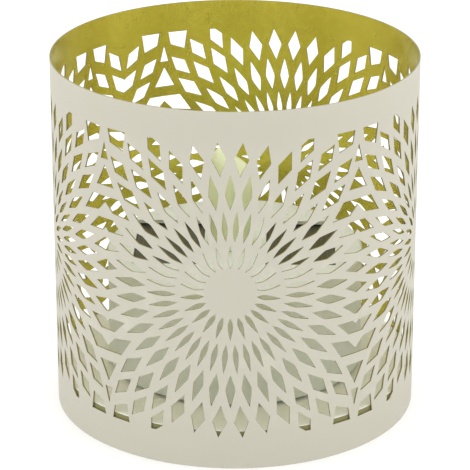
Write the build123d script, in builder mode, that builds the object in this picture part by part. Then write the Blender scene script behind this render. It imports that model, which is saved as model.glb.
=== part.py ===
from build123d import *
import os
from math import cos, radians, sin, tan

os.makedirs("parts", exist_ok=True)

# All sizes are millimetres. The origin is the centre of the foot edge, +Z is up,
# and the middle of the first flower faces -Y.

# ---- holder: a rolled, perforated steel sheet on a raised floor plate ----
outer_radius = 50.0
holder_height = 100.0
sheet_thickness = 0.5
inner_radius = outer_radius - sheet_thickness
cutter_reach = 2.0
floor_top = 10.7
floor_thickness = 0.6
floor_radius = 49.3
ear_count = 4
ear_width = 10.0
ear_depth = 7.0

# ---- flower pattern, drawn on the flat sheet before it is rolled ----
flower_pitch = 71.8
flower_height = 50.4
field_half_height = 41.1
whole_flowers = (-1, 0, 1, 2)
edge_flowers = (-2, 3)
half_pitch = flower_pitch / 2
half_sheet = radians(180) * outer_radius
seam_across = half_pitch + half_sheet
seam_to_flower = edge_flowers[1] * flower_pitch - seam_across

# Each flower has five rings of petals. The three inner rings are fine slits that belong to the finished
# surface, so the sheet here is cut with the two outer rings and the windows between the flowers.
# ring: (petals, first angle, inner tip, widest radius, outer tip, half width)
rings = {
    "outer": (40, 4.5, 32.2, 36.9, 41.5, 1.93),
    "fringe": (40, 0.0, 39.5, 43.7, 47.6, 1.90),
}
# ring: petals that stay whole, by their lean from the vertical in degrees
whole_leans = {"outer": (0, 50), "fringe": (35, 46)}
edge_leans = {"outer": (49, 50), "fringe": (35, 46)}
trimmed_lean = 27.5
line_leans = (85.5, 76.5, 67.5)
seam_lean = 40.5

# half outlines beside a line between two flowers, (distance from the line, height over the middle)
crown_half = ((0, 20.4), (2.6, 17.75), (8.15, 17.0), (4.75, 22.0), (0, 22.0))
tall_triangle_half = ((0, 24.9), (3.06, 24.9), (0, 30.75))
small_triangle_half = ((0, 32.4), (1.3, 32.4), (0, 37.2))
corner_window = ((1.35, field_half_height), (7.1, field_half_height), (6.3, 35.8), (2.1, 37.4))

# ---- light insert: a drum with two solar panes and a flame lens ----
foot_thickness = 0.8
foot_radius = 4.0
foot_circle = 28.0
drum_radius = 35.3
drum_wall = 1.4
drum_inner = drum_radius - drum_wall
base_bottom = floor_top + foot_thickness
base_thickness = 2.2
base_top = base_bottom + base_thickness
deck_top = 44.2
deck_thickness = 2.0
deck_bottom = deck_top - deck_thickness
deck_edge_round = 0.8

# ---- solar panes, one each side of the bridge ----
bridge_half_width = 8.6
pane_width = 19.2
pane_length = 32.6
pane_middle_y = 1.6
pane_middle_x = bridge_half_width + pane_width / 2
pane_recess = 1.0
pocket_margin = 0.4
pocket_size = (pane_width + 2 * pocket_margin, pane_length + 2 * pocket_margin)
seal_thickness = 0.3
cell_thickness = 2.0
cell_top = deck_top - pane_recess - seal_thickness
cell_slack = 0.1

# ---- flame lens ----
neck_radius = 5.7
neck_hole_radius = 5.9
lens_flange_radius = 7.8
lens_flange_thickness = 1.2
lens_wall = 1.3
# (height over the deck, sideways shift, radius) of the flame's round sections
flame_sections = (
    (0.2, -0.3, 5.75),
    (5.0, -0.6, 6.2),
    (12.0, -0.7, 6.75),
    (18.0, -0.8, 6.45),
    (22.5, -1.3, 5.35),
    (25.2, -2.7, 3.7),
    (27.2, -3.7, 1.9),
    (28.2, -4.0, 0.6),
)
hollow_sections = 5

# ---- light source and circuit board ----
board_width = 15.0
board_length = 48.0
board_thickness = 1.6
board_corner_radius = 1.6
board_top = 35.6
board_bottom = board_top - board_thickness
board_post_radius = 2.6
board_post_y = 20.0
led_radius = 2.5
led_flange_radius = 2.9
led_flange_thickness = 1.0
led_flange_z = 41.4
led_height = 8.6
lead_width = 0.5
lead_pitch = 2.54
spacer_outer = 3.9
spacer_inner = 3.0
chip_size = (5.0, 4.0, 1.5)
coil_radius = 3.0
coil_waist = 1.9
coil_height = 5.0
coil_rim = 0.9
component_y = 11.0

# ---- battery compartment under the twist cover ----
well_outer = 25.5
well_wall = 1.2
well_top = 27.5
cover_opening_radius = 21.2
cover_radius = 21.0
lug_outer = 23.2
lug_inner = 19.0
lug_height = 1.3
lug_lift = 0.1
lug_half_angle = 10.0
notch_outer = 23.5
notch_half_angle = 12.0
cover_twist = 25.0
coin_slot = (14.0, 2.4, 1.0)
cell_radius = 5.2
cell_length = 43.0
cell_start_x = -20.4
cell_axis_z = 19.3
tip_radius = 1.9
tip_length = 0.8
contact_width = 9.0
contact_thickness = 0.4
spring_radius = 2.6
spring_wire = 0.25
spring_length = 2.6
spring_turns = 3
spring_end_room = 3 * spring_wire

# ---- on/off slide switch, reached from below ----
switch_y = -29.2
switch_body_size = (9.0, 4.6, 4.0)
switch_slot = (6.4, 3.2)
knob_size = (2.6, 2.4)
knob_bottom = base_bottom + 0.2
stem_size = (1.4, 1.2)
stem_top = base_top + 1.5
stem_slot = (4.6, 1.6, 2.0)
switch_travel = 2.5

# ---- screws ----
boss_radius = 2.8
boss_xy = 21.35
pilot_depth = 9.0
case_screw_radius = 1.2
case_screw_head = (2.4, 1.2)
case_screw_cross = (2.6, 0.6)
case_screw_tip_gap = 1.0
board_screw_radius = 1.0
board_screw_head = (1.9, 1.1)
board_screw_slot = (2.2, 0.5)
board_screw_bite = 4.5
screw_clearance = 0.03
hole_clearance = 0.2
recess_depth_share = 0.55


def sheet_plane(across, up, turn=0.0):
    """A plane on the rolled sheet, given by a place on the flat one and turned clockwise."""
    bearing = across / outer_radius
    outward = Vector(sin(bearing), -cos(bearing), 0)
    sideways = Vector(cos(bearing), sin(bearing), 0)
    tilted = sideways * cos(radians(turn)) - Vector(0, 0, sin(radians(turn)))
    return Plane(outward * outer_radius + Vector(0, 0, up), x_dir=tilted, z_dir=outward)


def petal_plane(flower, ring, angle):
    """The plane of one petal, centred where the petal is widest."""
    widest = rings[ring][3]
    across = flower * flower_pitch + widest * sin(radians(angle))
    up = flower_height + widest * cos(radians(angle))
    return sheet_plane(across, up, angle)


def lean(angle):
    """How far a petal's direction is from the vertical, 0 to 90 degrees."""
    return min(angle % 180, 180 - angle % 180)


def ring_angles(ring, leans):
    """Directions of the petals in a ring whose lean is between two limits."""
    count, first = rings[ring][:2]
    angles = [first + 360 / count * step for step in range(count)]
    return [angle for angle in angles if leans[0] <= lean(angle) <= leans[1]]


def petal_outline(ring):
    """Corner points of a petal, its tip upwards, about its widest place."""
    inner, widest, outer, half = rings[ring][2:]
    return [(0, inner - widest), (half, 0), (0, outer - widest), (-half, 0)]


def split_petal_outline(ring, angle, line_distance):
    """A petal's corners seen from a vertical line beside its flower, at mid-height of the flower."""
    widest = rings[ring][3]
    turned = []
    for x, y in petal_outline(ring):
        across = (widest + y) * sin(radians(angle)) + x * cos(radians(angle))
        up = (widest + y) * cos(radians(angle)) - x * sin(radians(angle))
        turned.append((across - line_distance, up))
    return turned


def mirrored_half(points):
    """The whole outline of an opening given by the half to the right of its line."""
    return list(points) + [(-x, y) for x, y in reversed(points) if x > 0]


def ring_sectors(inner, outer, directions, half_angle):
    """Sectors of a flat ring, each centred on a direction."""
    side = outer * tan(radians(half_angle))
    for direction in directions:
        with Locations(Location((0, 0, 0), (0, 0, direction))):
            Polygon((0, 0), (outer, -side), (outer, side), align=None)
    Circle(outer, mode=Mode.INTERSECT)
    if inner > 0:
        Circle(inner, mode=Mode.SUBTRACT)


# ---------------------------------------------------------------- holder

with BuildPart() as perforated_shell:
    with BuildSketch():
        Circle(outer_radius)
        Circle(inner_radius, mode=Mode.SUBTRACT)
    extrude(amount=holder_height)

    for ring in rings:
        angles = ring_angles(ring, whole_leans[ring])
        planes = [petal_plane(flower, ring, angle) for flower in whole_flowers for angle in angles]
        for flower, side in zip(edge_flowers, (1, -1)):
            for angle in ring_angles(ring, edge_leans[ring]):
                if side * sin(radians(angle)) > 0:
                    planes.append(petal_plane(flower, ring, angle))
        with BuildSketch(*planes):
            Polygon(*petal_outline(ring), align=None)

    for side in (1, -1):
        starts = (side * trimmed_lean, side * trimmed_lean + 180)
        with BuildSketch(*[petal_plane(f, "fringe", a) for f in whole_flowers for a in starts]):
            Polygon(*petal_outline("fringe"), align=None)
            cut_y = field_half_height / cos(radians(trimmed_lean)) - rings["fringe"][3]
            with Locations(Location((0, cut_y, 0), (0, 0, side * trimmed_lean))):
                Rectangle(half_pitch, half_pitch, align=(Align.CENTER, Align.MIN), mode=Mode.SUBTRACT)

    lines = [sheet_plane(f * flower_pitch + half_pitch, flower_height) for f in (-2,) + whole_flowers]
    with BuildSketch(*lines):
        for angle in line_leans:
            Polygon(*split_petal_outline("outer", angle, half_pitch), align=None)
        Rectangle(half_pitch, holder_height, align=(Align.MIN, Align.CENTER), mode=Mode.SUBTRACT)
        for half_outline in (crown_half, tall_triangle_half, small_triangle_half):
            Polygon(*mirrored_half(half_outline), align=None)
        Polygon(*corner_window, align=None)
        mirror(about=Plane.YZ)
        mirror(about=Plane.XZ)

    with BuildSketch(sheet_plane(seam_across, flower_height)):
        Polygon(*split_petal_outline("outer", seam_lean, seam_to_flower), align=None)
        Rectangle(half_pitch, holder_height, align=(Align.MAX, Align.CENTER), mode=Mode.SUBTRACT)
        mirror(about=Plane.YZ)
        mirror(about=Plane.XZ)

    extrude(amount=cutter_reach, both=True, mode=Mode.SUBTRACT)
perforated_shell.part.label = "perforated_shell"
export_step(perforated_shell.part, "parts/perforated_shell.step")

with BuildPart() as floor_plate:
    with BuildSketch(Plane.XY.offset(floor_top - floor_thickness)):
        Circle(floor_radius)
    extrude(amount=floor_thickness)
    with BuildSketch(Plane.XY.offset(floor_top - floor_thickness - ear_depth)):
        with PolarLocations(floor_radius, ear_count, start_angle=45):
            Rectangle(ear_width, ear_width)
        Circle(floor_radius, mode=Mode.INTERSECT)
        Circle(floor_radius - floor_thickness, mode=Mode.SUBTRACT)
    extrude(amount=ear_depth)
floor_plate.part.label = "floor_plate"
export_step(floor_plate.part, "parts/floor_plate.step")

# ---------------------------------------------------------------- light insert: case

with BuildPart() as insert_feet:
    with BuildSketch(Plane.XY.offset(floor_top)):
        with PolarLocations(foot_circle, 3, start_angle=90):
            Circle(foot_radius)
    extrude(amount=foot_thickness)
    chamfer(insert_feet.edges().group_by(Axis.Z)[0], foot_thickness / 4)
insert_feet.part.label = "insert_feet"
export_step(insert_feet.part, "parts/insert_feet.step")

boss_places = [(x, y) for x in (-boss_xy, boss_xy) for y in (-boss_xy, boss_xy)]

with BuildPart() as insert_base:
    with BuildSketch(Plane.XY.offset(base_bottom)):
        Circle(drum_radius)
    extrude(amount=base_thickness)
    chamfer(insert_base.edges().group_by(Axis.Z)[0], deck_edge_round / 2)
    with BuildSketch(Plane.XY.offset(base_bottom)):
        Circle(cover_opening_radius)
    extrude(amount=base_thickness, mode=Mode.SUBTRACT)
    with BuildSketch(Plane.XY.offset(base_bottom)):
        ring_sectors(0, notch_outer, (90, 270), notch_half_angle)
    extrude(amount=base_thickness, mode=Mode.SUBTRACT)
    with BuildSketch(Plane.XY.offset(base_bottom)):
        with Locations((0, switch_y)):
            Rectangle(*switch_slot)
        with Locations(*boss_places):
            Circle(case_screw_radius + hole_clearance)
    extrude(amount=base_thickness, mode=Mode.SUBTRACT)
    with BuildSketch(Plane.XY.offset(base_bottom)):
        with Locations(*boss_places):
            Circle(case_screw_head[0] + hole_clearance)
    extrude(amount=case_screw_head[1], mode=Mode.SUBTRACT)
insert_base.part.label = "insert_base"
export_step(insert_base.part, "parts/insert_base.step")

board_post_places = ((0, -board_post_y), (0, board_post_y))
pane_places = ((-pane_middle_x, pane_middle_y), (pane_middle_x, pane_middle_y))

with BuildPart() as insert_body:
    with BuildSketch(Plane.XY.offset(base_top)):
        Circle(drum_radius)
    extrude(amount=deck_top - base_top)
    fillet(insert_body.edges().group_by(Axis.Z)[-1], deck_edge_round)
    with BuildSketch(Plane.XY.offset(base_top)):
        Circle(drum_inner)
    extrude(amount=deck_bottom - base_top, mode=Mode.SUBTRACT)
    with BuildSketch(Plane.XY.offset(base_top)):
        with Locations(*boss_places):
            Circle(boss_radius)
    extrude(amount=deck_bottom - base_top)
    with BuildSketch(Plane.XY.offset(board_top)):
        with Locations(*board_post_places):
            Circle(board_post_radius)
    extrude(amount=deck_bottom - board_top)
    with BuildSketch(Plane.XY.offset(deck_bottom)):
        with Locations(*pane_places):
            Rectangle(pane_width, pane_length)
        Circle(neck_hole_radius)
    extrude(amount=deck_thickness, mode=Mode.SUBTRACT)
    with BuildSketch(Plane.XY.offset(deck_bottom)):
        with Locations(*pane_places):
            Rectangle(*pocket_size)
    extrude(amount=deck_thickness - pane_recess, mode=Mode.SUBTRACT)
    with BuildSketch(Plane.XY.offset(base_top)):
        with Locations(*boss_places):
            Circle(case_screw_radius + screw_clearance)
    extrude(amount=pilot_depth, mode=Mode.SUBTRACT)
    with BuildSketch(Plane.XY.offset(board_top)):
        with Locations(*board_post_places):
            Circle(board_screw_radius + screw_clearance)
    extrude(amount=board_screw_bite, mode=Mode.SUBTRACT)
insert_body.part.label = "insert_body"
export_step(insert_body.part, "parts/insert_body.step")

with BuildPart() as case_screws:
    with BuildSketch(Plane.XY.offset(base_bottom)):
        with Locations(*boss_places):
            Circle(case_screw_head[0])
    extrude(amount=case_screw_head[1])
    chamfer(case_screws.edges().group_by(Axis.Z)[0], case_screw_head[1] / 4)
    with BuildSketch(Plane.XY.offset(base_bottom + case_screw_head[1])):
        with Locations(*boss_places):
            Circle(case_screw_radius)
    extrude(amount=base_thickness + pilot_depth - case_screw_head[1] - case_screw_tip_gap)
    with BuildSketch(Plane.XY.offset(base_bottom)):
        with Locations(*boss_places):
            Rectangle(*case_screw_cross)
            Rectangle(*reversed(case_screw_cross))
    extrude(amount=case_screw_head[1] * recess_depth_share, mode=Mode.SUBTRACT)
case_screws.part.label = "case_screws"
export_step(case_screws.part, "parts/case_screws.step")

# ---------------------------------------------------------------- light insert: solar panes

for side, place in zip(("left", "right"), pane_places):
    with BuildPart() as cell_seal:
        with BuildSketch(Plane.XY.offset(cell_top)):
            with Locations(place):
                Rectangle(*pocket_size)
                Rectangle(pane_width, pane_length, mode=Mode.SUBTRACT)
        extrude(amount=seal_thickness)
    cell_seal.part.label = "cell_seal_" + side
    export_step(cell_seal.part, "parts/cell_seal_" + side + ".step")

    with BuildPart() as solar_cell:
        with BuildSketch(Plane.XY.offset(cell_top - cell_thickness)):
            with Locations(place):
                Rectangle(pocket_size[0] - cell_slack, pocket_size[1] - cell_slack)
        extrude(amount=cell_thickness)
    solar_cell.part.label = "solar_cell_" + side
    export_step(solar_cell.part, "parts/solar_cell_" + side + ".step")

# ---------------------------------------------------------------- light insert: flame and light source

with BuildPart() as flame_lens:
    with BuildSketch(Plane.XY.offset(deck_bottom - lens_flange_thickness)):
        Circle(lens_flange_radius)
    extrude(amount=lens_flange_thickness)
    with BuildSketch(Plane.XY.offset(deck_bottom)):
        Circle(neck_radius)
    extrude(amount=deck_thickness + flame_sections[0][0])
    for rise, shift, radius in flame_sections:
        with BuildSketch(Plane.XY.offset(deck_top + rise)):
            with Locations((shift, 0)):
                Circle(radius)
    loft()
    for rise, shift, radius in flame_sections[:hollow_sections]:
        with BuildSketch(Plane.XY.offset(deck_top + rise)):
            with Locations((shift, 0)):
                Circle(radius - lens_wall)
    loft(mode=Mode.SUBTRACT)
    with BuildSketch(Plane.XY.offset(deck_bottom - lens_flange_thickness)):
        Circle(neck_radius - lens_wall)
    extrude(amount=lens_flange_thickness + deck_thickness + flame_sections[0][0], mode=Mode.SUBTRACT)
flame_lens.part.label = "flame_lens"
export_step(flame_lens.part, "parts/flame_lens.step")

with BuildPart() as led:
    with BuildSketch(Plane.XY.offset(led_flange_z)):
        Circle(led_flange_radius)
    extrude(amount=led_flange_thickness)
    with BuildSketch(Plane.XY.offset(led_flange_z)):
        Circle(led_radius)
    extrude(amount=led_height)
    fillet(led.edges().group_by(Axis.Z)[-1], led_radius - lead_width / 2)
    with BuildSketch(Plane.XY.offset(board_top)):
        with GridLocations(lead_pitch, 0, 2, 1):
            Rectangle(lead_width, lead_width)
    extrude(amount=led_flange_z - board_top)
led.part.label = "led"
export_step(led.part, "parts/led.step")

with BuildPart() as led_spacer:
    with BuildSketch(Plane.XY.offset(board_top)):
        Circle(spacer_outer)
        Circle(spacer_inner, mode=Mode.SUBTRACT)
    extrude(amount=deck_bottom - lens_flange_thickness - board_top)
led_spacer.part.label = "led_spacer"
export_step(led_spacer.part, "parts/led_spacer.step")

with BuildPart() as circuit_board:
    with BuildSketch(Plane.XY.offset(board_bottom)):
        RectangleRounded(board_width, board_length, board_corner_radius)
        with Locations(*board_post_places):
            Circle(board_screw_radius + hole_clearance, mode=Mode.SUBTRACT)
    extrude(amount=board_thickness)
circuit_board.part.label = "circuit_board"
export_step(circuit_board.part, "parts/circuit_board.step")

with BuildPart() as board_screws:
    with BuildSketch(Plane.XY.offset(board_bottom - board_screw_head[1])):
        with Locations(*board_post_places):
            Circle(board_screw_head[0])
    extrude(amount=board_screw_head[1])
    with BuildSketch(Plane.XY.offset(board_bottom)):
        with Locations(*board_post_places):
            Circle(board_screw_radius)
    extrude(amount=board_thickness + board_screw_bite - hole_clearance)
    with BuildSketch(Plane.XY.offset(board_bottom - board_screw_head[1])):
        with Locations(*board_post_places):
            Rectangle(*board_screw_slot)
    extrude(amount=board_screw_head[1] * recess_depth_share, mode=Mode.SUBTRACT)
board_screws.part.label = "board_screws"
export_step(board_screws.part, "parts/board_screws.step")

with BuildPart() as driver_chip:
    with BuildSketch(Plane.XY.offset(board_top)):
        with Locations((0, component_y)):
            Rectangle(*chip_size[:2])
    extrude(amount=chip_size[2])
    chamfer(driver_chip.edges().group_by(Axis.Z)[-1], chip_size[2] / 6)
driver_chip.part.label = "driver_chip"
export_step(driver_chip.part, "parts/driver_chip.step")

with BuildPart() as choke_coil:
    with BuildSketch(Plane.XY.offset(board_top)):
        with Locations((0, -component_y)):
            Circle(coil_radius)
    extrude(amount=coil_height)
    with BuildSketch(Plane.XY.offset(board_top + coil_rim)):
        with Locations((0, -component_y)):
            Circle(coil_radius)
            Circle(coil_waist, mode=Mode.SUBTRACT)
    extrude(amount=coil_height - 2 * coil_rim, mode=Mode.SUBTRACT)
choke_coil.part.label = "choke_coil"
export_step(choke_coil.part, "parts/choke_coil.step")

# ---------------------------------------------------------------- light insert: battery compartment

with BuildPart() as battery_well:
    with BuildSketch(Plane.XY.offset(base_top)):
        Circle(well_outer)
    extrude(amount=well_top - base_top)
    fillet(battery_well.edges().group_by(Axis.Z)[-1], deck_edge_round)
    with BuildSketch(Plane.XY.offset(base_top)):
        Circle(well_outer - well_wall)
    extrude(amount=well_top - well_wall - base_top, mode=Mode.SUBTRACT)
battery_well.part.label = "battery_well"
export_step(battery_well.part, "parts/battery_well.step")

with BuildPart() as battery:
    with BuildSketch(Plane.YZ.offset(cell_start_x)):
        with Locations((0, cell_axis_z)):
            Circle(cell_radius)
    extrude(amount=cell_length - tip_length)
    with BuildSketch(Plane.YZ.offset(cell_start_x + cell_length - tip_length)):
        with Locations((0, cell_axis_z)):
            Circle(tip_radius)
    extrude(amount=tip_length)
battery.part.label = "battery"
export_step(battery.part, "parts/battery.step")

with BuildPart() as contact_plate:
    with BuildSketch(Plane.YZ.offset(cell_start_x + cell_length)):
        with Locations((0, cell_axis_z)):
            Rectangle(contact_width, contact_width)
    extrude(amount=contact_thickness)
contact_plate.part.label = "contact_plate"
export_step(contact_plate.part, "parts/contact_plate.step")

spring_start_x = cell_start_x - spring_length
with BuildPart() as contact_spring:
    with BuildSketch(Plane.YZ.offset(spring_start_x - contact_thickness)):
        with Locations((0, cell_axis_z)):
            Rectangle(contact_width, contact_width)
    extrude(amount=contact_thickness)
    coil_pitch = (spring_length - spring_end_room) / spring_turns
    coil_start = (spring_start_x + spring_wire / 2, 0, cell_axis_z)
    with BuildLine():
        coil_path = Helix(
            coil_pitch, coil_pitch * spring_turns, spring_radius, center=coil_start, direction=(1, 0, 0)
        )
    with BuildSketch(Plane(coil_path @ 0, z_dir=coil_path % 0)):
        Circle(spring_wire)
    sweep()
contact_spring.part.label = "contact_spring"
export_step(contact_spring.part, "parts/contact_spring.step")

with BuildPart() as battery_cover:
    with BuildSketch(Plane.XY.offset(base_bottom)):
        Circle(cover_radius)
    extrude(amount=base_thickness)
    with BuildSketch(Plane.XY.offset(base_top)):
        ring_sectors(lug_inner, cover_radius, (90 - cover_twist, 270 - cover_twist), lug_half_angle)
    extrude(amount=lug_height)
    with BuildSketch(Plane.XY.offset(base_top + lug_lift)):
        ring_sectors(lug_inner, lug_outer, (90 - cover_twist, 270 - cover_twist), lug_half_angle)
    extrude(amount=lug_height - lug_lift)
    with BuildSketch(Plane.XY.offset(base_bottom)):
        Rectangle(*coin_slot[:2])
    extrude(amount=coin_slot[2], mode=Mode.SUBTRACT)
battery_cover.part.label = "battery_cover"
export_step(battery_cover.part, "parts/battery_cover.step")

# ---------------------------------------------------------------- light insert: switch

with BuildPart() as switch_body:
    with BuildSketch(Plane.XY.offset(base_top)):
        with Locations((0, switch_y)):
            Rectangle(*switch_body_size[:2])
    extrude(amount=switch_body_size[2])
    with BuildSketch(Plane.XY.offset(base_top)):
        with Locations((0, switch_y)):
            Rectangle(*stem_slot[:2])
    extrude(amount=stem_slot[2], mode=Mode.SUBTRACT)
switch_body.part.label = "switch_body"
export_step(switch_body.part, "parts/switch_body.step")

with BuildPart() as switch_knob:
    with BuildSketch(Plane.XY.offset(knob_bottom)):
        with Locations((-switch_travel / 2, switch_y)):
            Rectangle(*knob_size)
    extrude(amount=base_top - screw_clearance - knob_bottom)
    with BuildSketch(Plane.XY.offset(knob_bottom)):
        with Locations((-switch_travel / 2, switch_y)):
            Rectangle(*stem_size)
    extrude(amount=stem_top - knob_bottom)
switch_knob.part.label = "switch_knob"
export_step(switch_knob.part, "parts/switch_knob.step")
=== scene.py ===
"""The looks of a perforated tealight holder with its light insert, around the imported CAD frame."""

from math import cos, pi, radians, sin

import bpy
import numpy as np
from bpy.props import FloatProperty, FloatVectorProperty, PointerProperty
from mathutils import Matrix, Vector
from mathutils.geometry import delaunay_2d_cdt


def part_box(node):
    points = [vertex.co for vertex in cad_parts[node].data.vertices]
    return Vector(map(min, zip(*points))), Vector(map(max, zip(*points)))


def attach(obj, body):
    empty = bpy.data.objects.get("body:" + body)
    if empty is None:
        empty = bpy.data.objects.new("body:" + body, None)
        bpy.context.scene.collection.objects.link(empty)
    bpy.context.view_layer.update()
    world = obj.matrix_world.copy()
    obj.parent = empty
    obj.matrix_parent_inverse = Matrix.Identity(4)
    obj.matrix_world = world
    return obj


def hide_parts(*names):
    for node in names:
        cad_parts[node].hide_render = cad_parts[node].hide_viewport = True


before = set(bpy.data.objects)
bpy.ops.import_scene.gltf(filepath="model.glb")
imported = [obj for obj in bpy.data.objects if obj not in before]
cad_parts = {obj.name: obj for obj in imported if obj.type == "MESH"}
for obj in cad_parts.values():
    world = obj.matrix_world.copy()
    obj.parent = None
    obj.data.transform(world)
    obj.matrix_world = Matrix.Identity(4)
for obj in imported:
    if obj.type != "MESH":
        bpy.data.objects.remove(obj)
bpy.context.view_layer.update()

bl_info = {
    "name": "Perforated Tealight Holder",
    "version": (1, 0, 0),
    "blender": (4, 5, 0),
    "location": "View3D > Sidebar > Holder",
    "description": "Builds the flower-cut shell of a tealight holder and finishes its light insert",
    "category": "Add Mesh",
}

MM = 0.001
SHELL_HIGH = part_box("perforated_shell")[1]
OUTER_RADIUS = SHELL_HIGH.x / MM
HOLDER_HEIGHT = SHELL_HIGH.z / MM
SHEET_THICKNESS = 0.5
HALF_SHEET = pi * OUTER_RADIUS

# ---- the flower pattern on the flat sheet, in millimetres ----
FLOWER_PITCH = 71.8
HALF_PITCH = FLOWER_PITCH / 2
FLOWER_HEIGHT = 50.4
FIELD_HALF_HEIGHT = 41.1
WHOLE_FLOWERS = (-1, 0, 1, 2)
EDGE_FLOWERS = (-2, 3)
SEAM_ACROSS = HALF_PITCH + HALF_SHEET
SEAM_TO_FLOWER = EDGE_FLOWERS[1] * FLOWER_PITCH - SEAM_ACROSS

# ring: (petals, first angle, inner tip, widest radius, outer tip, half width, fullness towards the
# inner tip, fullness towards the outer tip)
RINGS = {
    "seed": (22, 0.0, 7.0, 9.4, 13.3, 0.70, 2.1, 1.5),
    "inner": (40, 4.5, 14.5, 18.0, 22.8, 0.78, 1.5, 1.4),
    "middle": (40, 0.0, 23.2, 27.4, 32.8, 1.32, 1.2, 1.2),
    "outer": (40, 4.5, 32.2, 36.9, 41.5, 1.93, 1.0, 1.0),
    "fringe": (40, 0.0, 39.5, 43.7, 47.6, 1.90, 1.0, 1.0),
}
# Petals cut in full, by their lean from the vertical in degrees: on the whole flowers, and on the
# two flowers that the seam breaks.
WHOLE_LEANS = {
    "seed": (0, 90),
    "inner": (0, 90),
    "middle": (0, 90),
    "outer": (0, 50),
    "fringe": (35, 46),
}
EDGE_LEANS = {"middle": (80, 90), "outer": (49, 50), "fringe": (35, 46)}
# Petals cut short: by the field's top and foot, by the line between two flowers, and by the seam.
TRIMMED_LEAN = 27.5
LINE_LEANS = (85.5, 76.5, 67.5)
SEAM_LEANS = (("middle", 72.0), ("middle", 63.0), ("middle", 54.0), ("outer", 40.5))
# Windows on the line between two flowers, as half outlines from that line, and the one beside it.
CROWN_HALF = ((0, 20.4), (2.6, 17.75), (8.15, 17.0), (4.75, 22.0), (0, 22.0))
TALL_TRIANGLE_HALF = ((0, 24.9), (3.06, 24.9), (0, 30.75))
SMALL_TRIANGLE_HALF = ((0, 32.4), (1.3, 32.4), (0, 37.2))
CORNER_WINDOW = ((1.35, FIELD_HALF_HEIGHT), (7.1, FIELD_HALF_HEIGHT), (6.3, 35.8), (2.1, 37.4))

# ---- how the sheet is meshed, in millimetres ----
SIDE_STEPS = 5
COLUMN_STEP = 2.4
ROW_STEP = 3.6
CLEAR_OF_OPENING = 0.45
MERGE_DISTANCE = 1e-4
DOUBLED_POINT = 1e-3
SEAM_END_GAP = 10 * MERGE_DISTANCE
SEAM_TWIN_GAP = 100 * MERGE_DISTANCE
LARGEST_MITER = 2.2
SHORTEST_LENGTH = 1e-6
SHARP_ANGLE = radians(35)
OUTSIDE_SLOT, INSIDE_SLOT, CUT_EDGE_SLOT = range(3)

# ---- the floor plate's turned-down rim, in millimetres ----
RIM_SEGMENTS = 192
RIM_REACH = 2.4
RIM_BEND = 0.35
RIM_BEND_STEPS = 6
RIM_THICKNESS = 0.3
RIM_DROP = 0.03


def lens_outline(ring):
    """A petal's outline, tip up, about the flower's middle: two bowed sides that meet in points."""
    inner, widest, outer, half, inner_full, outer_full = RINGS[ring][2:]
    side = []
    for step in range(SIDE_STEPS + 1):
        share = 1 - step / SIDE_STEPS
        side.append((half * (1 - share**inner_full), widest - share * (widest - inner)))
    for step in range(1, SIDE_STEPS + 1):
        share = step / SIDE_STEPS
        side.append((half * (1 - share**outer_full), widest + share * (outer - widest)))
    return side + [(-x, y) for x, y in reversed(side[1:-1])]


def turned(points, angle):
    """Points turned clockwise about the flower's middle."""
    c, s = cos(radians(angle)), sin(radians(angle))
    return [(x * c + y * s, y * c - x * s) for x, y in points]


def moved(points, across, up=0.0):
    return [(x + across, y + up) for x, y in points]


def flipped(points, x_sign=1, y_sign=1):
    return [(x * x_sign, y * y_sign) for x, y in points]


def clipped(points, axis, limit, keep_below=True):
    """The part of an outline on one side of an upright or level line."""
    sign = 1 if keep_below else -1
    kept = []
    for here, after in zip(points, points[1:] + points[:1]):
        a, b = sign * (limit - here[axis]), sign * (limit - after[axis])
        if a >= 0:
            kept.append(here)
        if a * b < 0:
            share = a / (a - b)
            kept.append(tuple(p + share * (q - p) for p, q in zip(here, after)))
    return kept


def mirrored_half(points):
    return list(points) + [(-x, y) for x, y in reversed(points) if x > 0]


def doubled(a, b):
    return max(abs(a[0] - b[0]), abs(a[1] - b[1])) <= DOUBLED_POINT


def tidied(points):
    """An outline without doubled points, run anticlockwise."""
    loop = []
    for point in points:
        if not loop or not doubled(point, loop[-1]):
            loop.append(point)
    if doubled(loop[0], loop[-1]):
        loop.pop()
    turning = sum(a[0] * b[1] - b[0] * a[1] for a, b in zip(loop, loop[1:] + loop[:1]))
    return loop if turning > 0 else loop[::-1]


def ring_angles(ring, leans):
    """Directions of a ring's petals whose lean from the vertical is between two limits."""
    count, first = RINGS[ring][:2]
    angles = [first + 360 / count * step for step in range(count)]
    return [a for a in angles if leans[0] <= min(a % 180, 180 - a % 180) <= leans[1]]


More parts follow.
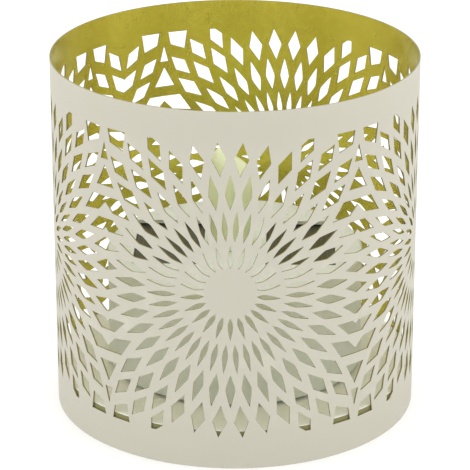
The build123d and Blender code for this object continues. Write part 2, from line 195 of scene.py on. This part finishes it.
def openings():
    """Outlines of every opening on the flat sheet, heights counted from the flowers' middle."""
    found = []
    for ring in RINGS:
        petal = lens_outline(ring)
        for angle in ring_angles(ring, WHOLE_LEANS[ring]):
            found += [moved(turned(petal, angle), f * FLOWER_PITCH) for f in WHOLE_FLOWERS]
        for flower, side in zip(EDGE_FLOWERS, (1, -1)):
            for angle in ring_angles(ring, EDGE_LEANS.get(ring, (0, -1))):
                if side * sin(radians(angle)) > 0:
                    found.append(moved(turned(petal, angle), flower * FLOWER_PITCH))
    for side in (1, -1):
        trimmed = clipped(turned(lens_outline("fringe"), side * TRIMMED_LEAN), 1, FIELD_HALF_HEIGHT)
        for flower in WHOLE_FLOWERS:
            found += [moved(flipped(trimmed, 1, y), flower * FLOWER_PITCH) for y in (1, -1)]

    beside_line = [list(CORNER_WINDOW), flipped(CORNER_WINDOW, -1)]
    halves = (CROWN_HALF, TALL_TRIANGLE_HALF, SMALL_TRIANGLE_HALF)
    beside_line += [mirrored_half(half) for half in halves]
    for angle in LINE_LEANS:
        part = clipped(moved(turned(lens_outline("outer"), angle), -HALF_PITCH), 0, 0.0)
        beside_line += [part, flipped(part, -1)]
    for flower in EDGE_FLOWERS[:1] + WHOLE_FLOWERS:
        across = flower * FLOWER_PITCH + HALF_PITCH
        found += [moved(flipped(shape, 1, y), across) for shape in beside_line for y in (1, -1)]

    for ring, angle in SEAM_LEANS:
        outline = moved(turned(lens_outline(ring), angle), -SEAM_TO_FLOWER)
        part = clipped(outline, 0, 0.0, keep_below=False)
        found += [moved(flipped(part, x, y), SEAM_ACROSS) for x in (1, -1) for y in (1, -1)]
    return [moved(tidied(outline), 0.0, FLOWER_HEIGHT) for outline in found]


def wrapped_copies(outline, left, right):
    """An outline and its copies one turn away that reach into the flat sheet."""
    for turn in (-1, 0, 1):
        copy = moved(outline, turn * 2 * HALF_SHEET)
        if max(x for x, _ in copy) > left and min(x for x, _ in copy) < right:
            yield copy


def near_outline(point, outline, distance):
    """Whether a point is close to an opening's outline."""
    loop = np.array(outline)
    after = np.roll(loop, -1, axis=0)
    along = after - loop
    share = np.clip(((point - loop) * along).sum(1) / (along**2).sum(1), 0, 1)
    return bool((np.hypot(*(point - loop - share[:, None] * along).T) < distance).any())


def flat_sheet():
    """The perforated sheet laid flat: points and triangles, in millimetres."""
    left, right = SEAM_ACROSS - 2 * HALF_SHEET, SEAM_ACROSS
    points = [(left, 0.0), (right, 0.0), (right, HOLDER_HEIGHT), (left, HOLDER_HEIGHT)]
    faces = [[0, 1, 2, 3]]
    shapes = [copy for outline in openings() for copy in wrapped_copies(outline, left, right)]
    for shape in shapes:
        faces.append(list(range(len(points), len(points) + len(shape))))
        points += shape

    columns = round(2 * HALF_SHEET / COLUMN_STEP)
    rows = round(HOLDER_HEIGHT / ROW_STEP)
    lows = np.array([np.min(shape, axis=0) for shape in shapes]) - CLEAR_OF_OPENING
    highs = np.array([np.max(shape, axis=0) for shape in shapes]) + CLEAR_OF_OPENING
    for column in range(columns + 1):
        for row in range(rows + 1):
            spot = np.array((left + 2 * HALF_SHEET * column / columns, HOLDER_HEIGHT * row / rows))
            close = np.flatnonzero(((spot > lows) & (spot < highs)).all(1))
            if not any(near_outline(spot, shapes[i], CLEAR_OF_OPENING) for i in close):
                points.append(tuple(spot))

    made = delaunay_2d_cdt([Vector(p) for p in points], [], faces, 0, MERGE_DISTANCE, True)
    flat = np.array([tuple(p) for p in made[0]])
    # A triangle that comes from the sheet's own face alone lies in no opening.
    triangles = np.array([face for face, origin in zip(made[2], made[5]) if list(origin) == [0]])
    a, b, c = (flat[triangles[:, i]] for i in range(3))
    (ab_x, ab_y), (ac_x, ac_y) = (b - a).T, (c - a).T
    clockwise = ab_x * ac_y - ab_y * ac_x < 0
    triangles[clockwise] = triangles[clockwise][:, ::-1]
    return joined_at_seam(flat, triangles, left, right)


def joined_at_seam(flat, triangles, left, right):
    """The sheet's two upright ends made one: a point on the right becomes its twin on the left."""
    twin = np.arange(len(flat))
    on_left = np.flatnonzero(abs(flat[:, 0] - left) < SEAM_END_GAP)
    for i in np.flatnonzero(abs(flat[:, 0] - right) < SEAM_END_GAP):
        gaps = abs(flat[on_left, 1] - flat[i, 1])
        if gaps.min() < SEAM_TWIN_GAP:
            twin[i] = on_left[gaps.argmin()]
    triangles = twin[triangles]
    used, renumbered = np.unique(triangles, return_inverse=True)
    return flat[used], renumbered.reshape(triangles.shape)


def open_edges(triangles):
    """Edges with sheet on one side only, each running with the sheet on its left."""
    edges = np.concatenate([triangles[:, pair] for pair in ([0, 1], [1, 2], [2, 0])])
    known = {tuple(edge) for edge in edges}
    return np.array([edge for edge in edges if (edge[1], edge[0]) not in known])


def eased_edges(flat, border, ease):
    """The sheet's points, with those on a cut edge drawn back into it for a small chamfer."""
    along = flat[border[:, 1]] - flat[border[:, 0]]
    # An edge that crosses the seam is taken the short way round.
    along[:, 0] = (along[:, 0] + HALF_SHEET) % (2 * HALF_SHEET) - HALF_SHEET
    edge_length = np.linalg.norm(along, axis=1)
    normal = np.stack([-along[:, 1], along[:, 0]], 1) / edge_length[:, None]
    total = np.zeros_like(flat)
    for end in (0, 1):
        np.add.at(total, border[:, end], normal)
    on_border = np.unique(border)
    length = np.maximum(np.linalg.norm(total[on_border], axis=1), SHORTEST_LENGTH)
    miter = np.minimum(2 / length, LARGEST_MITER)
    drawn_back = flat.copy()
    drawn_back[on_border] += ease * miter[:, None] * total[on_border] / length[:, None]
    return drawn_back


def rolled(flat, radius):
    """Flat sheet points rolled to a cylinder of a radius, in metres."""
    bearing = flat[:, 0] / OUTER_RADIUS
    return np.stack([radius * np.sin(bearing), -radius * np.cos(bearing), flat[:, 1]], 1) * MM


def smooth_mesh(name, points, faces):
    """A mesh whose faces are all smooth."""
    mesh = bpy.data.meshes.new(name)
    mesh.from_pydata(points, [], faces)
    mesh.polygons.foreach_set("use_smooth", [True] * len(faces))
    mesh.update()
    return mesh


def aim_rolled_faces(mesh, corners):
    """Normals straight out on the outer face and in on the inner, whose corners come first."""
    radial = corners * (1, 1, 0)
    radial /= np.linalg.norm(radial, axis=1)[:, None]
    radial[len(radial) // 2 :] *= -1
    # A normal of zero length leaves a corner with the mesh's own.
    normals = np.zeros((len(mesh.loops), 3))
    normals[: len(radial)] = radial
    mesh.set_sharp_from_angle(angle=SHARP_ANGLE)
    mesh.normals_split_custom_set(normals.tolist())


def shell_mesh(ease):
    """The rolled sheet with its two faces, cut edges and small chamfers."""
    flat, triangles = flat_sheet()
    border = open_edges(triangles)
    drawn_back = eased_edges(flat, border, ease)
    inner_radius = OUTER_RADIUS - SHEET_THICKNESS
    layers = [
        rolled(drawn_back, OUTER_RADIUS),
        rolled(flat, OUTER_RADIUS - ease),
        rolled(flat, inner_radius + ease),
        rolled(drawn_back, inner_radius),
    ]
    points, count, innermost = np.concatenate(layers), len(flat), len(layers) - 1
    faces = [tuple(t) for t in triangles]
    faces += [tuple(t[::-1] + innermost * count) for t in triangles]
    corners = points[np.concatenate(faces)]
    slots = [OUTSIDE_SLOT] * len(triangles) + [INSIDE_SLOT] * len(triangles)
    # The outer chamfer keeps the cream; the cut wall and the inner chamfer take the cut-edge
    # material, whose darker gold is painted shade.
    for level in range(innermost):
        here, deeper = level * count, (level + 1) * count
        faces += [(b + here, a + here, a + deeper, b + deeper) for a, b in border]
        slots += [CUT_EDGE_SLOT if level else OUTSIDE_SLOT] * len(border)

    used = np.unique(np.concatenate(faces))
    renumbered = np.zeros(len(points), dtype=int)
    renumbered[used] = np.arange(len(used))
    places = [tuple(renumbered[list(face)].tolist()) for face in faces]
    mesh = smooth_mesh("perforated_sheet", points[used].tolist(), places)
    mesh.polygons.foreach_set("material_index", slots)
    aim_rolled_faces(mesh, corners)
    return mesh


def rim_profile(radius, top):
    """Section of the floor plate's turned-down edge, as (radius, height), run round its outline."""
    inner_radius, foot = radius - RIM_THICKNESS, top - RIM_REACH
    section = [(radius - RIM_BEND - RIM_THICKNESS, top)]
    for step in range(RIM_BEND_STEPS + 1):
        angle = radians(90 - 90 * step / RIM_BEND_STEPS)
        across, up = RIM_BEND * cos(angle), RIM_BEND * sin(angle)
        section.append((radius - RIM_BEND + across, top - RIM_BEND + up))
    return section + [
        (radius, foot),
        (inner_radius, foot),
        (inner_radius, top - RIM_BEND - RIM_THICKNESS),
        (radius - RIM_BEND - RIM_THICKNESS, top - RIM_THICKNESS),
    ]


def revolved(name, profile, segments):
    """A closed ring made by turning a section, given in millimetres, about the holder's axis."""
    count = len(profile)
    points, faces = [], []
    for segment in range(segments):
        angle = 2 * pi * segment / segments
        points += [(r * cos(angle) * MM, r * sin(angle) * MM, z * MM) for r, z in profile]
    for segment in range(segments):
        here, after = segment * count, (segment + 1) % segments * count
        for i in range(count):
            j = (i + 1) % count
            faces.append((here + i, here + j, after + j, after + i))
    mesh = smooth_mesh(name, points, faces)
    mesh.set_sharp_from_angle(angle=SHARP_ANGLE)
    return mesh


def placed(context, name, data):
    """A new object in the scene that shows a mesh, a light or a camera."""
    made = bpy.data.objects.new(name, data)
    context.scene.collection.objects.link(made)
    return made


# ---------------------------------------------------------------- shared shader effects

GRAIN_SCALE, GRAIN_DETAIL = 2500.0, 3.0
PATCH_SCALE, PATCH_DETAIL = 60.0, 2.0
WEAR_NOISE_SCALE = 400.0
# Pointiness at which wear starts on a convex edge, and at which it is full.
WEAR_START, WEAR_FULL = 0.52, 0.62
WORN_BRIGHTNESS = 1.12
BUMP_DEPTH = 2e-5


def socket(group, name, direction, default=None):
    made = group.interface.new_socket(name=name, in_out=direction, socket_type="NodeSocketFloat")
    if default is not None:
        made.default_value = default


def surface_grain_group():
    """Fine grain as a height and slow patches as a mask, both fixed to the object."""
    name = "surface grain"
    if name in bpy.data.node_groups:
        return bpy.data.node_groups[name]
    group = bpy.data.node_groups.new(name, "ShaderNodeTree")
    socket(group, "Grain Scale", "INPUT", GRAIN_SCALE)
    socket(group, "Patch Scale", "INPUT", PATCH_SCALE)
    socket(group, "Grain", "OUTPUT")
    socket(group, "Patches", "OUTPUT")
    nodes, links = group.nodes, group.links
    inputs, outputs = nodes.new("NodeGroupInput"), nodes.new("NodeGroupOutput")
    place = nodes.new("ShaderNodeTexCoord")
    for source, target, detail in (
        ("Grain Scale", "Grain", GRAIN_DETAIL),
        ("Patch Scale", "Patches", PATCH_DETAIL),
    ):
        noise = nodes.new("ShaderNodeTexNoise")
        noise.inputs["Detail"].default_value = detail
        links.new(place.outputs["Object"], noise.inputs["Vector"])
        links.new(inputs.outputs[source], noise.inputs["Scale"])
        links.new(noise.outputs["Fac"], outputs.inputs[target])
    return group


def edge_wear_group():
    """A mask that is high on convex edges and broken up by noise."""
    name = "edge wear"
    if name in bpy.data.node_groups:
        return bpy.data.node_groups[name]
    group = bpy.data.node_groups.new(name, "ShaderNodeTree")
    socket(group, "Noise Scale", "INPUT", WEAR_NOISE_SCALE)
    socket(group, "Wear", "OUTPUT")
    nodes, links = group.nodes, group.links
    inputs, outputs = nodes.new("NodeGroupInput"), nodes.new("NodeGroupOutput")
    place, shape = nodes.new("ShaderNodeTexCoord"), nodes.new("ShaderNodeNewGeometry")
    noise, raised = nodes.new("ShaderNodeTexNoise"), nodes.new("ShaderNodeMapRange")
    raised.inputs["From Min"].default_value = WEAR_START
    raised.inputs["From Max"].default_value = WEAR_FULL
    product = nodes.new("ShaderNodeMath")
    product.operation = "MULTIPLY"
    product.use_clamp = True
    links.new(place.outputs["Object"], noise.inputs["Vector"])
    links.new(inputs.outputs["Noise Scale"], noise.inputs["Scale"])
    links.new(shape.outputs["Pointiness"], raised.inputs["Value"])
    links.new(raised.outputs["Result"], product.inputs[0])
    links.new(noise.outputs["Fac"], product.inputs[1])
    links.new(product.outputs["Value"], outputs.inputs["Wear"])
    return group


def shaded(tint, share):
    return [channel * share for channel in tint]


class Finish:
    """One Principled material with grain, patchy colour and worn edges; more can be added to it.

    The colour goes between base and shade in slow patches, and the roughness by spread either way.
    """

    def __init__(
        self,
        name,
        base,
        shade,
        roughness,
        spread=0.08,
        grain=GRAIN_SCALE,
        patch=PATCH_SCALE,
        bump=0.1,
    ):
        self.material = bpy.data.materials.new(name)
        self.material.use_nodes = True
        self.nodes = self.material.node_tree.nodes
        self.links = self.material.node_tree.links
        self.shader = self.nodes["Principled BSDF"]
        self.grain = self.group(surface_grain_group())
        self.grain.inputs["Grain Scale"].default_value = grain
        self.grain.inputs["Patch Scale"].default_value = patch
        wear = self.group(edge_wear_group())
        self.colour = self.mix(self.grain.outputs["Patches"], base, shade)
        lighter = [min(1.0, channel) for channel in shaded(base, WORN_BRIGHTNESS)]
        self.colour = self.mix(wear.outputs["Wear"], self.colour, lighter)
        self.link(self.colour, "Base Color")
        rough = self.nodes.new("ShaderNodeMapRange")
        rough.inputs["To Min"].default_value = roughness - spread
        rough.inputs["To Max"].default_value = roughness + spread
        self.links.new(self.grain.outputs["Patches"], rough.inputs["Value"])
        self.link(rough.outputs["Result"], "Roughness")
        relief = self.nodes.new("ShaderNodeBump")
        relief.inputs["Strength"].default_value = bump
        relief.inputs["Distance"].default_value = BUMP_DEPTH
        self.links.new(self.grain.outputs["Grain"], relief.inputs["Height"])
        self.link(relief.outputs["Normal"], "Normal")

    def group(self, tree):
        node = self.nodes.new("ShaderNodeGroup")
        node.node_tree = tree
        return node

    def link(self, output, name):
        self.links.new(output, self.shader.inputs[name])

    def mix(self, mask, first, second):
        """Colour output that goes from the first colour to the second by a mask."""
        node = self.nodes.new("ShaderNodeMix")
        node.data_type = "RGBA"
        self.links.new(mask, node.inputs["Factor"])
        for value, target in ((first, node.inputs[6]), (second, node.inputs[7])):
            if isinstance(value, bpy.types.NodeSocket):
                self.links.new(value, target)
            else:
                target.default_value = (*value, 1.0)
        return node.outputs[2]

    def line_mask(self, axis, pitch, width):
        """Thin lines across one axis of the object, with their pitch and width in millimetres."""
        place = self.nodes.new("ShaderNodeTexCoord")
        split = self.nodes.new("ShaderNodeSeparateXYZ")
        self.links.new(place.outputs["Object"], split.inputs["Vector"])
        value = split.outputs[axis]
        steps = (("PINGPONG", pitch * MM / 2), ("LESS_THAN", width * MM / 2))
        for operation, amount in steps:
            node = self.nodes.new("ShaderNodeMath")
            node.operation = operation
            node.inputs[1].default_value = amount
            self.links.new(value, node.inputs[0])
            value = node.outputs["Value"]
        return value

    def settle(self, **values):
        """Plain values on the shader's own sockets."""
        for name, value in values.items():
            self.shader.inputs[name.replace("_", " ")].default_value = value
        return self.material


def finish_nodes(material, *names):
    """Gives CAD nodes a material."""
    for name in names:
        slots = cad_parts[name].data.materials
        slots.clear()
        slots.append(material)


# ---------------------------------------------------------------- settings


def colour(name, description, default):
    return FloatVectorProperty(
        name=name,
        description=description,
        default=default,
        size=3,
        min=0.0,
        max=1.0,
        subtype="COLOR",
    )


class HolderSettings(bpy.types.PropertyGroup):
    """Colours of the shell and its floor, and the shell's chamfer."""

    outside: colour("Outside", "Powder coat on the outside of the shell", (0.505, 0.486, 0.405))
    inside: colour("Inside", "Gold lacquer inside the shell", (0.73, 0.65, 0.100))
    # The cut-edge colour is the gold lacquer darkened as painted shade; the edges' own colour is the
    # gold.
    cut_edge_shade: colour("Cut Edge Shade", "Darker lacquer on the cut edges of the sheet", (0.26, 0.23, 0.07))
    floor: colour("Floor Plate", "Coat on the raised floor plate", (0.88, 0.88, 0.82))
    # The rim's dark olive is the gold lacquer darkened as painted shade, for the shadow under the
    # floor plate.
    rim: colour("Floor Rim Shade", "Lacquer on the floor plate's turned-down rim", (0.22, 0.21, 0.09))
    edge_ease: FloatProperty(
        name="Edge Ease",
        description="Chamfer on the cut edges of the sheet, in millimetres",
        default=0.05,
        min=0.01,
        max=0.15,
    )


class InsertSettings(bpy.types.PropertyGroup):
    """Colours of the light insert."""

    case: colour("Case", "Off-white moulding of the drum", (0.69, 0.72, 0.69))
    flame: colour("Flame", "Translucent flame lens", (0.74, 0.79, 0.53))
    pane: colour("Solar Pane", "Dark cells under clear resin", (0.010, 0.010, 0.006))


class StageSettings(bpy.types.PropertyGroup):
    """Light and floor of the studio."""

    floor: colour("Floor", "Pale studio floor", (0.97, 0.97, 0.97))
    world_strength: FloatProperty(
        name="Surrounding Light",
        description="Strength of the even light from all round",
        default=1.20,
        min=0.0,
    )
    key_power: FloatProperty(
        name="Soft Lights",
        description="Power that the soft lights overhead and at the sides take their shares of",
        default=0.48,
        min=0.0,
        unit="POWER",
    )


# ---------------------------------------------------------------- operators


class HOLDER_OT_shell(bpy.types.Operator):
    """Builds the rolled, perforated shell: cream outside, gold inside, and on the cut edges the gold
    darkened as painted shade
    """

    bl_idname = "holder.shell"
    bl_label = "Perforated Shell"

    def execute(self, context):
        settings = context.scene.holder_settings
        mesh = shell_mesh(settings.edge_ease)
        coat = Finish(
            "cream powder coat",
            settings.outside,
            shaded(settings.outside, 0.97),
            roughness=0.62,
            grain=3200.0,
            bump=0.22,
        )
        gold = Finish(
            "gold lacquer",
            settings.inside,
            shaded(settings.inside, 0.72),
            roughness=0.25,
            spread=0.06,
            grain=2600.0,
            patch=520.0,
            bump=0.18,
        )
        # Painted shade: the cut edges get the gold lacquer darkened to a dark olive, in place of the
        # shadow they lie in.
        edge = Finish(
            "cut edge",
            settings.cut_edge_shade,
            shaded(settings.cut_edge_shade, 0.8),
            roughness=0.5,
            bump=0.3,
        )
        mesh.materials.append(coat.settle(Specular_IOR_Level=0.35))
        mesh.materials.append(gold.settle(Metallic=0.9))
        mesh.materials.append(edge.settle(Metallic=0.3))
        shell = placed(context, "perforated_sheet", mesh)
        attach(shell, "holder")
        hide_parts("perforated_shell")
        return {"FINISHED"}


class HOLDER_OT_floor_plate(bpy.types.Operator):
    """Finishes the raised floor plate and adds its turned-down rim, in gold darkened as painted
    shade
    """

    bl_idname = "holder.floor_plate"
    bl_label = "Floor Plate"

    def execute(self, context):
        settings = context.scene.holder_settings
        coat = Finish(
            "floor coat",
            settings.floor,
            shaded(settings.floor, 0.94),
            roughness=0.5,
            grain=2800.0,
            bump=0.15,
        )
        finish_nodes(coat.settle(Specular_IOR_Level=0.4), "floor_plate")

        # The rim stands halfway between the plate's edge and the shell, clear of both.
        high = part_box("floor_plate")[1]
        radius = (OUTER_RADIUS - SHEET_THICKNESS + high.x / MM) / 2
        profile = rim_profile(radius, high.z / MM - RIM_DROP)
        mesh = revolved("floor_rim", profile, RIM_SEGMENTS)
        # Painted shade: the rim's gold lacquer is darkened to a dark olive for the shadow under the
        # floor plate.
        lacquer = Finish(
            "rim lacquer and painted shade",
            settings.rim,
            shaded(settings.rim, 0.8),
            roughness=0.55,
            patch=300.0,
            bump=0.3,
        )
        mesh.materials.append(lacquer.settle(Specular_IOR_Level=0.2))
        rim = placed(context, "floor_rim", mesh)
        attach(rim, "holder")
        return {"FINISHED"}


class HOLDER_OT_case(bpy.types.Operator):
    """Finishes the drum, its base, the battery well and cover, and the feet"""

    bl_idname = "holder.case"
    bl_label = "Insert Case"

    def execute(self, context):
        base = context.scene.insert_settings.case
        plastic = Finish(
            "case moulding", base, shaded(base, 0.96), roughness=0.46, grain=5200.0, bump=0.18
        )
        finish_nodes(
            plastic.settle(Specular_IOR_Level=0.45),
            "insert_body",
            "insert_base",
            "battery_well",
            "battery_cover",
        )
        rubber = Finish(
            "foot rubber",
            (0.50, 0.50, 0.47),
            (0.40, 0.40, 0.38),
            roughness=0.8,
            grain=3000.0,
            bump=0.4,
        )
        finish_nodes(rubber.material, "insert_feet")
        return {"FINISHED"}


# Lines on the panes and the circuit board, in millimetres.
CELL_PITCH, CELL_GAP = 8.3, 0.25
FINGER_PITCH, FINGER_WIDTH = 1.6, 0.08
TRACK_PITCH, TRACK_WIDTH = 2.54, 0.5


class HOLDER_OT_solar_panes(bpy.types.Operator):
    """Finishes the two solar panes and their gaskets"""

    bl_idname = "holder.solar_panes"
    bl_label = "Solar Panes"

    def execute(self, context):
        base = context.scene.insert_settings.pane
        pane = Finish(
            "solar cell",
            base,
            shaded(base, 1.7),
            roughness=0.35,
            patch=160.0,
            grain=1800.0,
            bump=0.05,
        )
        gap_mask = pane.line_mask("Y", CELL_PITCH, CELL_GAP)
        gaps = pane.mix(gap_mask, pane.colour, (0.006, 0.006, 0.006))
        finger_mask = pane.line_mask("X", FINGER_PITCH, FINGER_WIDTH)
        fingers = pane.mix(finger_mask, gaps, (0.075, 0.075, 0.060))
        pane.link(fingers, "Base Color")
        pane.settle(Coat_Weight=0.15, Coat_Roughness=0.15, Specular_IOR_Level=0.3)
        finish_nodes(pane.material, "solar_cell_left", "solar_cell_right")
        seal = Finish(
            "seal foam",
            (0.02, 0.02, 0.02),
            (0.035, 0.035, 0.035),
            roughness=0.9,
            grain=4000.0,
            bump=0.6,
        )
        finish_nodes(seal.material, "cell_seal_left", "cell_seal_right")
        return {"FINISHED"}


class HOLDER_OT_flame(bpy.types.Operator):
    """Finishes the flame lens, the light source in it and the spacer under that"""

    bl_idname = "holder.flame"
    bl_label = "Flame Lens"

    def execute(self, context):
        base = context.scene.insert_settings.flame
        lens = Finish(
            "flame moulding",
            base,
            shaded(base, 0.92),
            roughness=0.38,
            patch=120.0,
            grain=1500.0,
            bump=0.15,
        )
        lens.settle(Subsurface_Weight=0.25, Subsurface_Scale=2 * MM)
        lens.settle(Coat_Weight=0.15, Coat_Roughness=0.3)
        finish_nodes(lens.material, "flame_lens")
        resin = Finish(
            "led resin", (0.80, 0.58, 0.15), (0.72, 0.50, 0.12), roughness=0.15, bump=0.03
        )
        finish_nodes(resin.settle(Coat_Weight=0.4), "led")
        spacer = Finish(
            "spacer moulding", (0.015, 0.015, 0.015), (0.03, 0.03, 0.03), roughness=0.5
        )
        finish_nodes(spacer.material, "led_spacer")
        return {"FINISHED"}


class HOLDER_OT_electronics(bpy.types.Operator):
    """Finishes the circuit board and what is on it"""

    bl_idname = "holder.electronics"
    bl_label = "Circuit Board"

    def execute(self, context):
        board = Finish(
            "board laminate",
            (0.012, 0.085, 0.025),
            (0.010, 0.060, 0.020),
            roughness=0.35,
            bump=0.08,
        )
        track_mask = board.line_mask("X", TRACK_PITCH, TRACK_WIDTH)
        tracks = board.mix(track_mask, board.colour, (0.025, 0.130, 0.040))
        board.link(tracks, "Base Color")
        finish_nodes(board.settle(Coat_Weight=0.3), "circuit_board")
        chip = Finish(
            "chip package", (0.012, 0.012, 0.013), (0.02, 0.02, 0.02), roughness=0.55, bump=0.3
        )
        finish_nodes(chip.material, "driver_chip")
        ferrite = Finish(
            "ferrite",
            (0.035, 0.033, 0.033),
            (0.05, 0.048, 0.045),
            roughness=0.65,
            grain=1800.0,
            bump=0.5,
        )
        finish_nodes(ferrite.material, "choke_coil")
        return {"FINISHED"}


class HOLDER_OT_battery(bpy.types.Operator):
    """Finishes the battery, its contacts and the screws"""

    bl_idname = "holder.battery"
    bl_label = "Battery and Metalwork"

    def execute(self, context):
        wrap = Finish(
            "battery wrap",
            (0.02, 0.14, 0.05),
            (0.018, 0.12, 0.045),
            roughness=0.28,
            patch=40.0,
            bump=0.04,
        )
        finish_nodes(wrap.settle(Coat_Weight=0.3), "battery")
        steel = Finish(
            "plated steel", (0.55, 0.55, 0.53), (0.46, 0.46, 0.44), roughness=0.32, grain=900.0
        )
        finish_nodes(
            steel.settle(Metallic=1.0),
            "contact_plate",
            "contact_spring",
            "case_screws",
            "board_screws",
        )
        return {"FINISHED"}


class HOLDER_OT_switch(bpy.types.Operator):
    """Finishes the slide switch and its knob"""

    bl_idname = "holder.switch"
    bl_label = "Slide Switch"

    def execute(self, context):
        black = Finish(
            "switch moulding",
            (0.013, 0.013, 0.014),
            (0.022, 0.022, 0.023),
            roughness=0.5,
            bump=0.3,
        )
        finish_nodes(black.material, "switch_body", "switch_knob")
        return {"FINISHED"}


# The viewpoint's distance from the axis and height, in outer radii, its angles in degrees, and its
# lens and sensor in millimetres.
VIEW_DISTANCE = 12.942
VIEW_HEIGHT = 6.089
VIEW_PITCH = 21.703
VIEW_BEARING = 1.39
SENSOR_WIDTH = 36.0
VIEW_LENS = 192.26

FLOOR_SPAN = 60
# The soft lights: name, place and width in outer radii, and share of the lights' power.
SOFT_LIGHTS = (
    ("overhead", (0.0, 0.0, 14.0), 12.0, 1.15),
    ("left_side", (-13.0, -1.0, 6.0), 8.0, 0.8),
    ("right_side", (13.0, -1.0, 6.0), 8.0, 1.0),
)


class HOLDER_OT_stage(bpy.types.Operator):
    """Sets up the pale floor, the soft lights and the camera"""

    bl_idname = "holder.stage"
    bl_label = "Studio Stage"

    def execute(self, context):
        settings = context.scene.stage_settings
        radius = OUTER_RADIUS * MM
        bpy.ops.mesh.primitive_plane_add(size=FLOOR_SPAN * radius)
        floor = context.object
        floor.name = "studio_floor"
        pale = Finish(
            "studio floor", settings.floor, shaded(settings.floor, 0.995), roughness=0.9, bump=0.0
        )
        floor.data.materials.append(pale.settle(Specular_IOR_Level=0.1))

        world = bpy.data.worlds.new("studio light")
        world.use_nodes = True
        background = world.node_tree.nodes["Background"]
        background.inputs["Color"].default_value = (1.0, 1.0, 1.0, 1.0)
        background.inputs["Strength"].default_value = settings.world_strength
        context.scene.world = world

        for name, place, width, share in SOFT_LIGHTS:
            light = bpy.data.lights.new(name, "AREA")
            light.energy = settings.key_power * share
            light.size = width * radius
            lamp = placed(context, name, light)
            lamp.location = Vector(place) * radius
            aim = Vector((0.0, 0.0, radius)) - lamp.location
            lamp.rotation_euler = aim.to_track_quat("-Z", "Y").to_euler()

        view = bpy.data.cameras.new("studio_view")
        view.sensor_width = SENSOR_WIDTH
        view.lens = VIEW_LENS
        camera = placed(context, "studio_view", view)
        bearing = radians(VIEW_BEARING)
        across, back = VIEW_DISTANCE * sin(bearing), VIEW_DISTANCE * cos(bearing)
        camera.location = Vector((across, -back, VIEW_HEIGHT)) * radius
        camera.rotation_euler = (radians(90 - VIEW_PITCH), 0.0, bearing)
        context.scene.camera = camera
        context.scene.view_settings.view_transform = "Standard"
        return {"FINISHED"}


STEPS = (
    HOLDER_OT_stage,
    HOLDER_OT_shell,
    HOLDER_OT_floor_plate,
    HOLDER_OT_case,
    HOLDER_OT_solar_panes,
    HOLDER_OT_flame,
    HOLDER_OT_electronics,
    HOLDER_OT_battery,
    HOLDER_OT_switch,
)


class HOLDER_PT_panel(bpy.types.Panel):
    """Lists the steps and the settings in the sidebar"""

    bl_idname = "HOLDER_PT_panel"
    bl_label = "Tealight Holder"
    bl_space_type = "VIEW_3D"
    bl_region_type = "UI"
    bl_category = "Holder"

    def draw(self, context):
        for step in STEPS:
            self.layout.operator(step.bl_idname)
        for settings in SETTINGS:
            group = getattr(context.scene, settings)
            for name in group.__annotations__:
                self.layout.prop(group, name)


SETTINGS = {
    "holder_settings": HolderSettings,
    "insert_settings": InsertSettings,
    "stage_settings": StageSettings,
}
CLASSES = (*SETTINGS.values(), *STEPS, HOLDER_PT_panel)


def register():
    for item in CLASSES:
        bpy.utils.register_class(item)
    for name, group in SETTINGS.items():
        setattr(bpy.types.Scene, name, PointerProperty(type=group))


def unregister():
    for name in SETTINGS:
        delattr(bpy.types.Scene, name)
    for item in reversed(CLASSES):
        bpy.utils.unregister_class(item)


def main():
    register()
    for step in STEPS:
        family, action = step.bl_idname.split(".")
        getattr(getattr(bpy.ops, family), action)()


if __name__ == "__main__":
    main()
